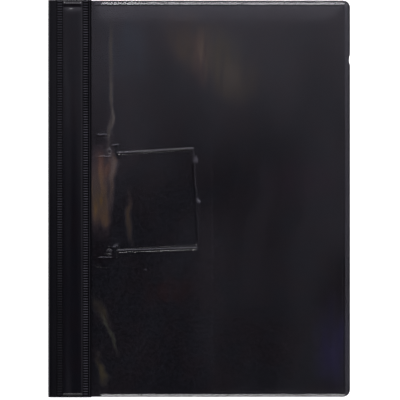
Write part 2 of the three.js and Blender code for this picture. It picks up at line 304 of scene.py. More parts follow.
class Shader(Nodes):
    """One material's node tree, and the patterns that its finishes share."""

    def __init__(self, name: str) -> None:
        """Makes an empty material.

        Args:
            name: the material's name.
        """
        self.material = bpy.data.materials.new(name)
        self.material.use_nodes = True
        super().__init__(self.material.node_tree)

    def place(self) -> Term:
        """Object coordinates."""
        return self.add("TexCoord", "Object")

    def axis(self, name: str) -> Term:
        """One of the object coordinates X, Y and Z."""
        return self.add("SeparateXYZ", name, None, i0=self.place())

    def noise(self, scale: float, detail: float = 3.0, stretch: Point = (1, 1, 1)) -> Term:
        """Noise between 0 and 1 in object space, stretched along the axes."""
        mapped = self.add("Mapping", Vector=self.place(), Scale=stretch)
        return self.add("TexNoise", "Fac", Vector=mapped, Scale=scale, Detail=detail)

    def between(self, value: Term, low: float, high: float, start: float = 0.0, end: float = 1.0) -> Term:
        """Value mapped smoothly from low..high to start..end."""
        settings = {"interpolation_type": "SMOOTHSTEP"}
        return self.add("MapRange", 0, settings, Value=value, i1=low, i2=high, i3=start, i4=end)

    def blend(self, share: Term | float, first: object, second: object) -> Term:
        """Colour mix of first and second by share."""
        settings = {"data_type": "RGBA", "clamp_factor": True}
        return self.add("Mix", 2, settings, i0=share, i6=first, i7=second)

    def vector(self, operation: str, first: object, second: object) -> Term:
        """Result of one Vector Math node on two vectors."""
        return self.add("VectorMath", 0, {"operation": operation}, i0=first, i1=second)

    def warped(self, amount: float, scale: float = 80.0, lengthways: float = 2.5) -> Term:
        """Object coordinates, shifted about by noise so that soft forms placed on them look uneven.

        Args:
            amount: the shift across, in metres for a noise of 1.
            scale: the noise's scale.
            lengthways: how much larger the shift is along Y.

        Returns:
            The shifted coordinates.
        """
        drift = self.add("TexNoise", "Color", Vector=self.place(), Scale=scale, Detail=4.0)
        centred = self.vector("SUBTRACT", drift, (0.5, 0.5, 0.5))
        return self.vector("ADD", self.place(), self.vector("MULTIPLY", centred, (amount, amount * lengthways, 0.0)))

    def spot(self, place: Term, painted_spot: ReflectionAndDustSpot) -> Term:
        """Soft elliptical spot in plan: a smooth step of the distance to its centre, counted in its radii.

        Args:
            place: the coordinates to place it on.
            painted_spot: its centre, radii and lean.

        Returns:
            1 at the spot's centre and 0 at its radii.
        """
        shifted = self.vector("SUBTRACT", place, (*photo_point(*painted_spot.pixel), 0.0))
        turned = self.add("Mapping", Vector=shifted, Rotation=(0.0, 0.0, math.radians(painted_spot.lean)))
        scale = tuple(1.0 / (radius * MM_PER_PIXEL * MM) for radius in painted_spot.radii)
        mapped = self.vector("MULTIPLY", turned, (*scale, 0.0))
        distance = self.add("VectorMath", "Value", {"operation": "LENGTH"}, i0=mapped)
        return self.between(distance, 0.0, 1.0, 1.0, 0.0)

    def bump(self, height: Term, distance: float, strength: float = 1.0) -> Term:
        """Bump normal from a height between 0 and 1."""
        return self.add("Bump", 0, None, Height=height, Distance=distance, Strength=strength)

    def finish(self, surface: Term) -> bpy.types.Material:
        """Links the surface to the material's output, and returns the material."""
        self.close(surface, "OutputMaterial")
        return self.material


def grey(level: float) -> Colour:
    """Neutral colour."""
    return (level, level, level, 1.0)


@dataclass(frozen=True)
class BlackVinyl:
    """Soft black vinyl sheet: fine pressed grain, faint rub marks and dust."""

    colour: Colour = (0.0019, 0.0018, 0.0027, 1.0)
    worn_and_highlight: Colour = (0.0036, 0.0034, 0.0042, 1.0)
    roughness: float = 0.235
    roughness_spread: float = 0.025
    mirror: float = 0.26
    name: str = "black_vinyl"
    grain_scale: float = 1500.0
    grain_depth: float = 0.000008
    cloud_scale: float = 9.0
    rub_scale: float = 34.0

    def tone(self, shader: Shader) -> Term:
        """Colour of the surface: black, paler where it has been rubbed."""
        rub = shader.noise(self.rub_scale, 5.0, (1.0, 0.35, 1.0))
        return shader.blend(shader.between(rub, 0.5, 0.78) * 0.6, self.colour, self.worn_and_highlight)

    def material(self) -> bpy.types.Material:
        """Builds the material.

        Returns:
            The finished material.
        """
        shader = Shader(self.name)
        grain = shader.noise(self.grain_scale, 4.0)
        cloud = shader.noise(self.cloud_scale, 2.0)
        rough = self.roughness + shader.between(cloud, 0.3, 0.7, -self.roughness_spread, self.roughness_spread)
        surface = shader.add(
            "BsdfPrincipled",
            0,
            None,
            Base_Color=self.tone(shader),
            Roughness=rough,
            Normal=shader.bump(grain, self.grain_depth),
            Specular_IOR_Level=self.mirror,
        )
        return shader.finish(surface)


@dataclass(frozen=True)
class RibbedVinyl(BlackVinyl):
    """Vinyl that the welding tool has pressed into ribs, with a painted highlight in the pale colour of each crest and
    painted shade, a deeper black, in the valleys.

    The painted crest highlights show between left and right, and fade out along the band from shown_above down to
    hidden_below.
    """

    name: str = "pressed_vinyl"
    # Deeper black than plain vinyl: painted shade in the valleys between the ribs
    colour: Colour = (0.0006, 0.0006, 0.0009, 1.0)
    # Pale colour of the painted highlights on the crests and on the thin line
    worn_and_highlight: Colour = (0.026, 0.025, 0.031, 1.0)
    roughness: float = 0.34
    mirror: float = 0.025
    pitch: float = 2.0 * MM
    crest_phase: float = -0.08
    left: float = 0.0
    right: float = 0.005
    line: float = 0.0
    hidden_below: float = -0.3
    shown_above: float = -0.29
    hidden_share: float = 0.45
    left_fade: float = 1.2 * MM
    right_fade: float = 1.0 * MM
    line_half: float = 0.5 * MM
    highlight_line_share: float = 0.25
    highlight_scale: float = 90.0

    def tone(self, shader: Shader) -> Term:
        """Colour of the band: painted highlights on the crests, as a sine wave along Y between black and pale, and one
        thin painted highlight line beside it.

        Args:
            shader: the material being built.

        Returns:
            The colour.
        """
        across, along = shader.axis("X"), shader.axis("Y")
        # Painted highlights: pale colour on each rib crest and along one thin line beside the ribs
        wave = (along * (2 * math.pi / self.pitch) + 2 * math.pi * (0.5 + self.crest_phase)).sine()
        crest = shader.between(wave, -0.1, 1.0)
        inside = shader.between(across, self.left, self.left + self.left_fade)
        inside = inside * shader.between(across, self.right - self.right_fade, self.right, 1.0, 0.0)
        uneven = shader.between(shader.noise(self.highlight_scale, 3.0), 0.3, 0.7, 0.55, 1.0)
        shown = shader.between(along, self.hidden_below, self.shown_above, self.hidden_share, 1.0)
        ribs = crest * inside * uneven * shown
        aside = across - self.line
        line = shader.between(aside * aside, 0.0, self.line_half**2, self.highlight_line_share, 0.0)
        return shader.blend(ribs + line, self.colour, self.worn_and_highlight)


@dataclass(frozen=True)
class ClearFilm:
    """Clear glossy film: lets most light through, mirrors at its face, and carries a faint tinted haze.

    The mirrored share follows Schlick's rule on the facing value, which is the same from either side of a face,
    so a slanted look through both faces stays clear.
    """

    name: str = "clear_film"
    haze: float = 0.0035
    haze_spread: float = 0.0007
    grain: float = 0.0011
    roughness: float = 0.1
    base: Colour = (0.56, 0.57, 0.76, 1.0)
    mauve: Colour = (0.69, 0.55, 0.7, 1.0)
    reflection_and_dust_spots: tuple[ReflectionAndDustSpot, ...] = ()
    warp: float = 0.009
    index: float = 1.5
    clarity: float = 0.85
    ripple: float = 0.00008
    grain_scale: float = 480.0
    streak_scale: float = 160.0
    dust_scale: float = 900.0
    dust_haze: float = 0.01
    mottle_scale: float = 52.0
    cloud_scale: float = 16.0
    wave_scales: Pair = (22.0, 90.0)

    def veil(self, shader: Shader, cloud: Term) -> tuple[Term, Term]:
        """Haze of the film and its colour, with the spots of painted reflection and painted highlight added to it.

        Args:
            shader: the material being built.
            cloud: broad noise that varies the haze.

        Returns:
            The share of light that the haze scatters, and the haze's colour.
        """
        grain = shader.between(shader.noise(self.grain_scale, 4.0), 0.35, 0.65, -self.grain, self.grain)
        streak = shader.between(shader.noise(self.streak_scale, 5.0, (1.0, 0.16, 1.0)), 0.38, 0.62, 0.55, 1.2)
        dust = shader.between(shader.noise(self.dust_scale, 1.0), 0.76, 0.82)
        clouds = shader.between(cloud, 0.3, 0.7, -self.haze_spread, self.haze_spread)
        haze = self.haze + clouds + dust * self.dust_haze + grain
        mottle = shader.between(shader.noise(self.mottle_scale, 5.0), 0.38, 0.62)
        colour = shader.blend(mottle, self.base, self.mauve)
        # Spots of painted reflection and painted highlight, and one dust speck, laid on the film as coloured haze
        if self.reflection_and_dust_spots:
            place = shader.warped(self.warp)
            for painted_spot in self.reflection_and_dust_spots:
                patch = shader.spot(place, painted_spot) * streak
                colour = shader.blend(patch * 1.3, colour, painted_spot.colour)
                haze = haze + patch * painted_spot.veil
        return haze, colour

    def gloss(self, shader: Shader, cloud: Term) -> tuple[Term, Term]:
        """Roughness of the film's face and its gently rippled normal.

        Args:
            shader: the material being built.
            cloud: broad noise that varies the roughness.

        Returns:
            The roughness and the normal.
        """
        broad, small = self.wave_scales
        waves = shader.noise(broad, 2.0, (1.0, 0.4, 1.0)) + shader.noise(small, 2.0, (1.0, 0.5, 1.0)) * 0.1
        rough = self.roughness + shader.between(cloud, 0.35, 0.7, -0.03, 0.05)
        return rough, shader.bump(waves, self.ripple)

    def material(self) -> bpy.types.Material:
        """Builds the material.

        Returns:
            The finished material.
        """
        shader = Shader(self.name)
        cloud = shader.noise(self.cloud_scale, 4.0, (1.0, 0.5, 1.0))
        haze, colour = self.veil(shader, cloud)
        rough, normal = self.gloss(shader, cloud)
        clear = shader.add("BsdfTransparent", 0, None, Color=grey(self.clarity))
        gloss = shader.add("BsdfGlossy", 0, None, Color=grey(1.0), Roughness=rough, Normal=normal)
        straight = ((self.index - 1.0) / (self.index + 1.0)) ** 2
        facing = shader.add("LayerWeight", "Facing", None, Blend=0.5)
        mirror = straight + (1.0 - straight) * facing**5
        face = shader.add("MixShader", 0, None, i0=mirror, i1=clear, i2=gloss)
        veil = shader.add("BsdfPrincipled", 0, None, Base_Color=colour, Roughness=0.6, Specular_IOR_Level=0.0)
        surface = shader.add("MixShader", 0, None, i0=haze, i1=face, i2=veil)
        return shader.finish(surface)


@dataclass(frozen=True)
class FilmOnBlack(ClearFilm):
    """Clear film that lies on black vinyl, drawn as one dark glossy face so that its reflections stay calm."""

    ground: Colour = (0.0008, 0.0008, 0.0012, 1.0)
    mirror: float = 0.45

    def material(self) -> bpy.types.Material:
        """Builds the material.

        Returns:
            The finished material.
        """
        shader = Shader(self.name)
        cloud = shader.noise(self.cloud_scale, 4.0, (1.0, 0.5, 1.0))
        haze, colour = self.veil(shader, cloud)
        rough, normal = self.gloss(shader, cloud)
        tone = shader.blend(haze, self.ground, colour)
        surface = shader.add(
            "BsdfPrincipled", 0, None, Base_Color=tone, Roughness=rough, Normal=normal, Specular_IOR_Level=self.mirror
        )
        return shader.finish(surface)


@dataclass(frozen=True)
class PaintedSteel:
    """Black gloss paint on steel, thin and a little scuffed where pieces rub."""

    colour: Colour = (0.001, 0.001, 0.0014, 1.0)
    scuffed: Colour = (0.004, 0.004, 0.0045, 1.0)
    roughness: float = 0.2
    mirror: float = 0.3
    name: str = "painted_steel"
    peel_scale: float = 700.0
    peel_depth: float = 0.000012
    scuff_scale: float = 260.0

    def material(self) -> bpy.types.Material:
        """Builds the material.

        Returns:
            The finished material.
        """
        shader = Shader(self.name)
        orange_peel = shader.noise(self.peel_scale, 2.0)
        scuff = shader.between(shader.noise(self.scuff_scale, 5.0), 0.62, 0.74)
        colour = shader.blend(scuff * 0.5, self.colour, self.scuffed)
        rough = self.roughness + scuff * 0.06
        normal = shader.bump(orange_peel, self.peel_depth)
        surface = shader.add(
            "BsdfPrincipled", 0, None, Base_Color=colour, Roughness=rough, Normal=normal, Specular_IOR_Level=self.mirror
        )
        return shader.finish(surface)


class Side(Enum):
    """The two weld bands of the flap, by what lies beside each."""

    SPINE = "spine"
    SHEET = "sheet"


def line_place(x: Array, y: Array, start: Pair, end: Pair) -> tuple[Array, Array]:
    """Place of each point against a line in plan: its share of the way along, and its distance to the side.

    Args:
        x: places along X.
        y: places along Y.
        start: pixel of the photograph where the line starts.
        end: pixel where it ends.

    Returns:
        The share along the line, and the signed distance aside in metres, positive on the line's right.
    """
    (x0, y0), (x1, y1) = photo_point(*start), photo_point(*end)
    length = math.hypot(x1 - x0, y1 - y0)
    ux, uy = (x1 - x0) / length, (y1 - y0) / length
    return ((x - x0) * ux + (y - y0) * uy) / length, (x - x0) * uy - (y - y0) * ux


def crease(x: Array, y: Array, start: Pair, end: Pair, width: float, fade: float) -> Array:
    """Soft ridge along a line in plan: a hump over the distance to the line, faded out towards its ends.

    Args:
        x: places along X.
        y: places along Y.
        start: pixel of the photograph where the ridge starts.
        end: pixel where it ends.
        width: the ridge's half width in metres.
        fade: share of the length over which it rises and falls at its ends.

    Returns:
        The height at each place, from 0 to 1.
    """
    along, aside = line_place(x, y, start, end)
    return bell(aside, width) * ramp(along, 0.0, fade) * (1.0 - ramp(along, 1.0 - fade, 1.0))


def step_pair(x: Array, y: Array, start: Pair, end: Pair, half: float, flanks: Pair) -> Array:
    """Flat-topped ridge along a line in plan, as film drawn over a wire: its two flanks are smooth steps.

    Args:
        x: places along X.
        y: places along Y.
        start: pixel of the photograph where the ridge starts.
        end: pixel where it ends.
        half: distance from the line to the middle of each flank.
        flanks: width of the flank on the foot side and on the head side.

    Returns:
        The height at each place, from 0 to 1.
    """
    along, aside = line_place(x, y, start, end)
    foot = 1.0 - ramp(aside, half - flanks[0] / 2, half + flanks[0] / 2)
    head = 1.0 - ramp(-aside, half - flanks[1] / 2, half + flanks[1] / 2)
    return foot * head * ramp(along, 0.0, 0.03) * (1.0 - ramp(along, 0.97, 1.0))


@dataclass
class CoverShell:
    """Black vinyl in one piece: back panel, round fold at the spine and front flap."""

    corner_radius: float = 5.5 * MM
    nick_from_head: float = 42.5 * MM
    nick_length: float = 8.0 * MM
    nick_depth: float = 0.8 * MM
    rim_line_inset: float = 3.0 * MM
    rim_line_depth: float = 0.12 * MM
    rim_line_width: float = 0.6 * MM
    recess_radius: float = 3.1 * MM
    recess_depth: float = 0.4 * MM
    corner_stretch: float = 6 * MM
    nick_stretch: Pair = (52 * MM, 40 * MM)
    arc_columns: int = 28
    vinyl: BlackVinyl = BlackVinyl()

    def __post_init__(self) -> None:
        """Reads the panel's and the flap's places from the frame."""
        low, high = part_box("back_cover")
        flap_low, flap_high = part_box("front_flap")
        self.low, self.high = low, high
        self.flap_right = flap_high[0]
        self.thickness = high[2] - flap_low[2]
        self.radius = high[2] / 2
        self.hinge_x = low[0] + self.radius
        self.rivets = [((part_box(n)[0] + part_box(n)[1]) / 2).to_2d() for n in ("rivet_head_end", "rivet_foot_end")]

    def edge(self, y: Array) -> Array:
        """Fore edge of the back panel: straight with round corners, less a shallow parabola at the nick.

        Args:
            y: places along Y.

        Returns:
            The edge's X at each place.
        """
        half, centre = (self.high[1] - self.low[1]) / 2, (self.high[1] + self.low[1]) / 2
        straight = corner_edge(y, half, centre, self.high[0], self.corner_radius)
        middle = self.high[1] - self.nick_from_head - self.nick_length / 2
        share = np.clip(1.0 - ((y - middle) / (self.nick_length / 2)) ** 2, 0.0, 1.0)
        return straight - self.nick_depth * share

    def build(self) -> bpy.types.Object:
        """Builds the shell: its middle path is the panel, a half circle and the flap, thickened both ways.

        Returns:
            The shell as one closed piece.
        """
        middle_radius = self.radius - self.thickness / 2
        foot, head = self.low[1], self.high[1]
        nick_foot, nick_head = (head - reach for reach in self.nick_stretch)
        y = steps(
            (foot, foot + self.corner_stretch, 12),
            (foot + self.corner_stretch, nick_foot, 70),
            (nick_foot, nick_head, 16),
            (nick_head, head - self.corner_stretch, 14),
            (head - self.corner_stretch, head, 12),
        )[:, None]
        shares = steps((1.0, 0.97, 16), (0.97, 0.0, 60))[None, :]
        panel_x = self.hinge_x + (self.edge(y) - self.hinge_x) * shares
        angle = np.linspace(-math.pi / 2, -3 * math.pi / 2, self.arc_columns + 1)[None, 1:]
        flap_x = np.linspace(self.hinge_x, self.flap_right, 24)[None, 1:]
        ones = np.ones_like(y)
        x = np.concatenate([panel_x, (self.hinge_x + middle_radius * np.cos(angle)) * ones, flap_x * ones], axis=1)
        z = np.concatenate(
            [
                np.full_like(panel_x, self.thickness / 2),
                (self.radius + middle_radius * np.sin(angle)) * ones,
                np.full_like(flap_x * ones, 2 * self.radius - self.thickness / 2),
            ],
            axis=1,
        )
        normal_x = np.concatenate([np.zeros_like(panel_x), np.cos(angle) * ones, np.zeros_like(flap_x * ones)], axis=1)
        normal_z = np.concatenate([-np.ones_like(panel_x), np.sin(angle) * ones, np.ones_like(flap_x * ones)], axis=1)
        yy = y * np.ones_like(x)
        half = self.thickness / 2
        outer = np.stack([x + normal_x * half, yy, z + normal_z * half], axis=2)
        border = np.minimum(self.edge(y) - x, np.minimum(yy - self.low[1], self.high[1] - yy))
        on_panel = (normal_z < 0) * (normal_x == 0)
        groove = self.rim_line_depth * bell(border - self.rim_line_inset, self.rim_line_width) * on_panel
        inner = np.stack([x - normal_x * half, yy, z - normal_z * half - groove], axis=2)
        shell = sheet_body("cover_shell", outer[::-1], inner[::-1])
        self.cut_recesses(shell)
        return shell

    def cut_recesses(self, shell: bpy.types.Object) -> None:
        """Sinks a round recess for each rivet's tail into the outside of the back panel."""
        for place in self.rivets:
            bpy.ops.mesh.primitive_cylinder_add(
                vertices=48,
                radius=self.recess_radius,
                depth=2 * self.recess_depth,
                location=(place[0], place[1], 0.0),
            )
            cutter = bpy.context.object
            cut = shell.modifiers.new("recess", "BOOLEAN")
            cut.object, cut.operation, cut.solver = cutter, "DIFFERENCE", "EXACT"
            bpy.context.view_layer.update()
            cut_mesh = bpy.data.meshes.new_from_object(shell.evaluated_get(bpy.context.evaluated_depsgraph_get()))
            shell.modifiers.clear()
            shell.data = cut_mesh
            bpy.data.objects.remove(cutter)

    def dress(self) -> list[bpy.types.Object]:
        """Builds and colours the shell, bakes its transform into its mesh and hides the CAD panel and flap.

        Returns:
            The finished shell.
        """
        shell = self.build()
        shell.data.materials.clear()
        shell.data.materials.append(self.vinyl.material())
        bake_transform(shell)
        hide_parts("back_cover", "front_flap")
        return [shell]


@dataclass
class WeldBand:
    """One ribbed band where the films are welded to the flap."""

    side: Side
    start: float
    width: float
    rib_width: float
    line_at: float = 0.0
    pitch: float = 2.0 * MM
    fall: float = 0.15 * MM
    fall_gain: float = 0.33
    bed: float = 0.06 * MM
    phases: tuple[float, ...] = (0.0, 0.12, 0.15, 0.19, 0.22, 0.44, 0.48, 0.76, 0.8)
    heights: tuple[float, ...] = (0.0, 0.0, 0.12, 0.9, 1.0, 1.0, 0.96, 0.04, 0.0)
    columns: int = 29
    line_height: float = 0.12 * MM
    line_width: float = 0.4 * MM
    edge_fade: float = 1.0 * MM
    worn_rows: Pair = (340, 240)
    pressed_row: float = 85
    pressed_reach: float = 8 * MM

    def build(self) -> bpy.types.Object:
        """Builds the band: each rib climbs steeply, is flat on top and falls gently towards the head.

        Returns:
            The band as a closed piece.
        """
        low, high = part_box("back_cover")
        count = int((high[1] - low[1]) / self.pitch)
        half = count * self.pitch / 2
        phases = np.array(self.phases)
        y = np.concatenate([(np.arange(count)[:, None] + phases[None, :]).ravel(), [count]]) * self.pitch - half
        y = y[:, None]
        x = low[0] + self.start + np.linspace(0.0, self.width, self.columns)[None, :]
        ribs = np.append(np.tile(self.heights, count), self.heights[0])[:, None]
        lower_part = 1.0 - ramp(y, *(photo_point(0, row)[1] for row in self.worn_rows))
        pressed = bell(y - photo_point(0, self.pressed_row)[1], self.pressed_reach)
        weak = 1.0 - (0.55 * pressed + 0.6 * lower_part) * (self.side is Side.SPINE)
        uneven = 0.9 + 0.1 * np.sin(y / (17 * MM)) * np.sin(y / (5.3 * MM) + 1.0)
        edge = ramp(np.minimum(x - x.min(), x.min() + self.rib_width - x), 0.0, self.edge_fade)
        fall = self.fall * (1.0 - self.fall_gain * y / half)
        line = self.line_height * bell(x - x.min() - self.line_at, self.line_width) * (self.line_at > 0)
        top = high[2] + SKIN_GAP + self.bed * edge + fall * ribs * weak * uneven * edge + line
        ones = np.ones_like(y * x)
        upper = np.stack([x * ones, y * ones, top * ones], axis=2)
        lower = np.stack([x * ones, y * ones, (high[2] - self.fall) * ones], axis=2)
        return sheet_body("weld_band_" + self.side.value, upper, lower)

    def dress(self) -> list[bpy.types.Object]:
        """Builds, colours and attaches the band.

        Returns:
            The finished band.
        """
        band = self.build()
        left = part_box("back_cover")[0][0] + self.start
        spine = self.side is Side.SPINE
        vinyl = RibbedVinyl(
            name="pressed_vinyl_" + self.side.value,
            mirror=0.06 if spine else 0.025,
            left=left,
            right=left + self.rib_width,
            line=left + self.line_at if self.line_at else 1.0,
            hidden_below=photo_point(0, 320)[1] if spine else -0.3,
            shown_above=photo_point(0, 200)[1] if spine else -0.29,
            # Pale colour of the painted crest highlights, brighter on the sheet's band
            worn_and_highlight=(0.026, 0.025, 0.031, 1.0) if spine else (0.042, 0.04, 0.048, 1.0),
        )
        band.data.materials.append(vinyl.material())
        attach(band, "front")
        return [band]


# Painted reflections of the room's colours and painted highlights on the front film, and one dust speck
FRONT_REFLECTIONS_AND_DUST = (
    ReflectionAndDustSpot((189, 42), (34, 52), (0.82, 0.56, 0.36, 1.0), 0.010, -26.0),
    ReflectionAndDustSpot((202, 56), (14, 38), (0.86, 0.42, 0.36, 1.0), 0.008),
    ReflectionAndDustSpot((222, 62), (36, 54), (0.74, 0.6, 0.38, 1.0), 0.009, -28.0),
    ReflectionAndDustSpot((238, 84), (36, 34), (0.68, 0.54, 0.4, 1.0), 0.006, -20.0),
    ReflectionAndDustSpot((128, 45), (34, 52), (0.4, 0.52, 0.72, 1.0), 0.007),
    ReflectionAndDustSpot((300, 180), (70, 34), (0.62, 0.42, 0.6, 1.0), 0.0025),
    ReflectionAndDustSpot((101, 166), (19, 30), (0.78, 0.44, 0.36, 1.0), 0.030, 4.0),
    ReflectionAndDustSpot((98, 200), (17, 42), (0.8, 0.48, 0.18, 1.0), 0.042, -8.0),
    ReflectionAndDustSpot((112, 178), (5, 56), (0.8, 0.58, 0.5, 1.0), 0.020, 2.0),
    # Dust speck on the film
    ReflectionAndDustSpot((146, 268.5), (2.2, 2.2), (0.8, 0.8, 0.9, 1.0), 0.012),
    ReflectionAndDustSpot((110, 130), (4, 30), (0.76, 0.66, 0.48, 1.0), 0.03, 8.0),
    ReflectionAndDustSpot((112, 105), (2.2, 50), (0.8, 0.7, 0.6, 1.0), 0.02),
    ReflectionAndDustSpot((112, 40), (4, 60), (0.7, 0.62, 0.5, 1.0), 0.008),
    ReflectionAndDustSpot((130, 218), (5, 36), (0.85, 0.58, 0.35, 1.0), 0.018, -2.0),
    ReflectionAndDustSpot((103, 216), (12, 14), (0.78, 0.48, 0.3, 1.0), 0.012, -10.0),
    # Painted highlights on the bail's far arm, seen through the film
    ReflectionAndDustSpot((195.0, 160), (2.6, 3.6), (0.8, 0.8, 0.86, 1.0), 0.06),
    ReflectionAndDustSpot((198.3, 201), (2.8, 4.6), (0.8, 0.8, 0.86, 1.0), 0.06),
    ReflectionAndDustSpot((196.5, 180), (1.6, 24), (0.7, 0.7, 0.78, 1.0), 0.008, -4.0),
    ReflectionAndDustSpot((101, 310), (8, 26), (0.8, 0.66, 0.42, 1.0), 0.010, -22.0),
    ReflectionAndDustSpot((110, 334), (3.5, 26), (0.7, 0.72, 0.55, 1.0), 0.010, -25.0),
    ReflectionAndDustSpot((101, 370), (6, 24), (0.8, 0.66, 0.38, 1.0), 0.012, -18.0),
    ReflectionAndDustSpot((170, 290), (36, 16), (0.75, 0.4, 0.45, 1.0), 0.0015),
    ReflectionAndDustSpot((332, 345), (26, 66), (0.34, 0.28, 0.85, 1.0), 0.008),
)

# Folds of the front film: height and width in mm, start and end pixel, and the share that fades at each end
FRONT_CREASES = (
    (0.10, 0.7, (112, 68), (112, 146), 0.15),
    (0.08, 0.7, (112, 164), (111, 222), 0.15),
    (0.09, 0.8, (95, 288), (118, 346), 0.15),
    (0.08, 0.8, (95, 345), (109, 386), 0.15),
    (0.03, 0.6, (203, 256), (223, 263), 0.3),
    (0.13, 0.5, (96, 135.2), (109, 135), 0.3),
    (0.13, 0.5, (97, 156.8), (113, 156.6), 0.3),
    (0.13, 0.5, (97, 257.6), (114, 257.6), 0.3),
    (0.13, 0.5, (111, 146), (120, 145), 0.3),
    (0.13, 0.5, (111, 247.6), (121, 245.6), 0.3),
    (0.10, 1.3, (192.5, 148), (199, 250), 0.15),
)

# Film drawn over the bail's arms: height in mm, start and end pixel, half width and the two flanks in mm
FRONT_STEPS = (
    (0.15, (116.5, 153.8), (194, 149.2), 0.95, (0.71, 0.98)),
    (0.15, (117, 251.1), (198.6, 248.3), 0.9, (0.9, 0.87)),
)


@dataclass
class FrontFilm:
    """Clear front sheet with its raised welded rim, drawn tight here and there over the clip."""

    thickness: float = 0.4 * MM
    corner_radius: float = 4.85 * MM
    rim_width: float = 4.3 * MM
    rim_rise: float = 0.46 * MM
    head_rim_shift: float = 0.45 * MM
    weld_line: float = 0.025 * MM
    drop: float = 1.2 * MM
    settle: float = 0.16 * MM
    settle_reach: float = 3.6 * MM
    rim_start_gap: float = 0.6 * MM
    rim_start_reach: float = 9.6 * MM
    slack_reach: float = 12 * MM
    flap_reach: float = 6 * MM
    dent_pixel: Pair = (117, 161)
    dent_width: float = 2.2 * MM
    arm_rows: tuple[float, ...] = (260, 255, 246, 158.5, 146, 133.5)
    fold_columns: tuple[float, ...] = (93, 120, 191, 202)
    film: ClearFilm = ClearFilm(reflection_and_dust_spots=FRONT_REFLECTIONS_AND_DUST)

    def relief(self, x: Array, y: Array) -> Array:
        """Height above the film's slope: its folds, less one dent, plus two products of sine waves.

        Args:
            x: places along X.
            y: places along Y.

        Returns:
            The height at each place, in metres.
        """
        ridges = np.zeros_like(x)
        for height, width, start, end, fade in FRONT_CREASES:
            ridges += height * crease(x, y, start, end, width * MM, fade)
        for height, start, end, half, (foot, head) in FRONT_STEPS:
            ridges += height * step_pair(x, y, start, end, half * MM, (foot * MM, head * MM))
        dent_x, dent_y = photo_point(*self.dent_pixel)
        ridges -= 0.12 * bell(np.hypot(x - dent_x, (y - dent_y) * 0.6), self.dent_width)
        waves = 0.10 * np.sin(x / (31 * MM) + 0.4) * np.sin(y / (57 * MM) + 0.9)
        waves += 0.04 * np.sin(x / (12 * MM) + 2.0 * np.sin(y / (80 * MM))) * bell(x + 55 * MM, 60 * MM)
        return (ridges + waves) * MM

    def build(self) -> bpy.types.Object:
        """Builds the sheet: a sloped plane plus relief, with a rounded bead along its three free sides.

        Returns:
            The sheet as a closed piece.
        """
        low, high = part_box("front_sheet")
        flap_low, flap_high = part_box("front_flap")
        half, centre = (high[1] - low[1]) / 2, (high[1] + low[1]) / 2
        fine = self.rim_width + 1.0 * MM
        arms = [photo_point(0, row)[1] for row in self.arm_rows]
        y = steps(
            (low[1], low[1] + fine, 18),
            (low[1] + fine, arms[0], 40),
            (arms[0], arms[1], 13),
            (arms[1], arms[2], 52),
            (arms[2], arms[3], 32),
            (arms[3], arms[4], 64),
            (arms[4], arms[5], 24),
            (arms[5], high[1] - fine, 38),
            (high[1] - fine, high[1], 18),
        )[:, None]
        folds = [photo_point(column, 0)[0] for column in self.fold_columns]
        columns = steps(
            (low[0], folds[0], 6),
            (folds[0], folds[1], 50),
            (folds[1], folds[2], 24),
            (folds[2], folds[3], 22),
            (folds[3], high[0] - fine, 36),
            (high[0] - fine, high[0], 20),
        )[None, :]
        shares = (columns - low[0]) / (high[0] - low[0])
        edge = corner_edge(y, half, centre, high[0], self.corner_radius)
        x = low[0] + (edge - low[0]) * shares
        yy = y * np.ones_like(x)
        # Distance to the outline: to its straight sides, or to the arc within a round corner
        inset = self.corner_radius
        right = high[0] - x
        ends = half - np.abs(yy - centre)
        in_corner = (right < inset) & (ends < inset)
        border = np.where(in_corner, inset - np.hypot(inset - right, inset - ends), np.minimum(right, ends))
        flank = border - self.head_rim_shift * ramp(yy, 0.0, half)
        bead = np.interp(flank, (0.0, 0.05 * MM, 1.2 * MM, 2.7 * MM), (0.0, 0.0, 0.39, 1.0))
        line = self.weld_line * bell(border - self.rim_width, 0.6 * MM)
        flap_edge = flap_high[0]
        shown = ramp(x, flap_edge + self.rim_start_gap, flap_edge + self.rim_start_reach)
        inner = ramp(border, self.rim_width, self.rim_width + self.slack_reach)
        inner = inner * ramp(x, flap_edge, flap_edge + self.flap_reach)
        slope = self.drop / (high[0] - low[0])
        plane = flap_low[2] - slope * (x - low[0])
        beside = np.exp(-np.clip(border - self.rim_width, 0.0, None) / self.settle_reach) * shown
        body = plane + self.relief(x, yy) * inner + (self.rim_rise * bead - line) * shown - self.settle * beside
        flat_back = (self.rim_rise * bead - self.settle * beside) * (1.0 - inner) * shown
        bottom = body - self.thickness - flat_back
        upper = np.stack([x, yy, body], axis=2)
        lower = np.stack([x, yy, bottom], axis=2)
        return sheet_body("front_film", upper, lower)

    def dress(self) -> list[bpy.types.Object]:
        """Builds, colours and attaches the front film.

        Returns:
            The finished film.
        """
        sheet = self.build()
        sheet.data.materials.append(self.film.material())
        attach(sheet, "front")
        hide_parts("front_sheet")
        return [sheet]


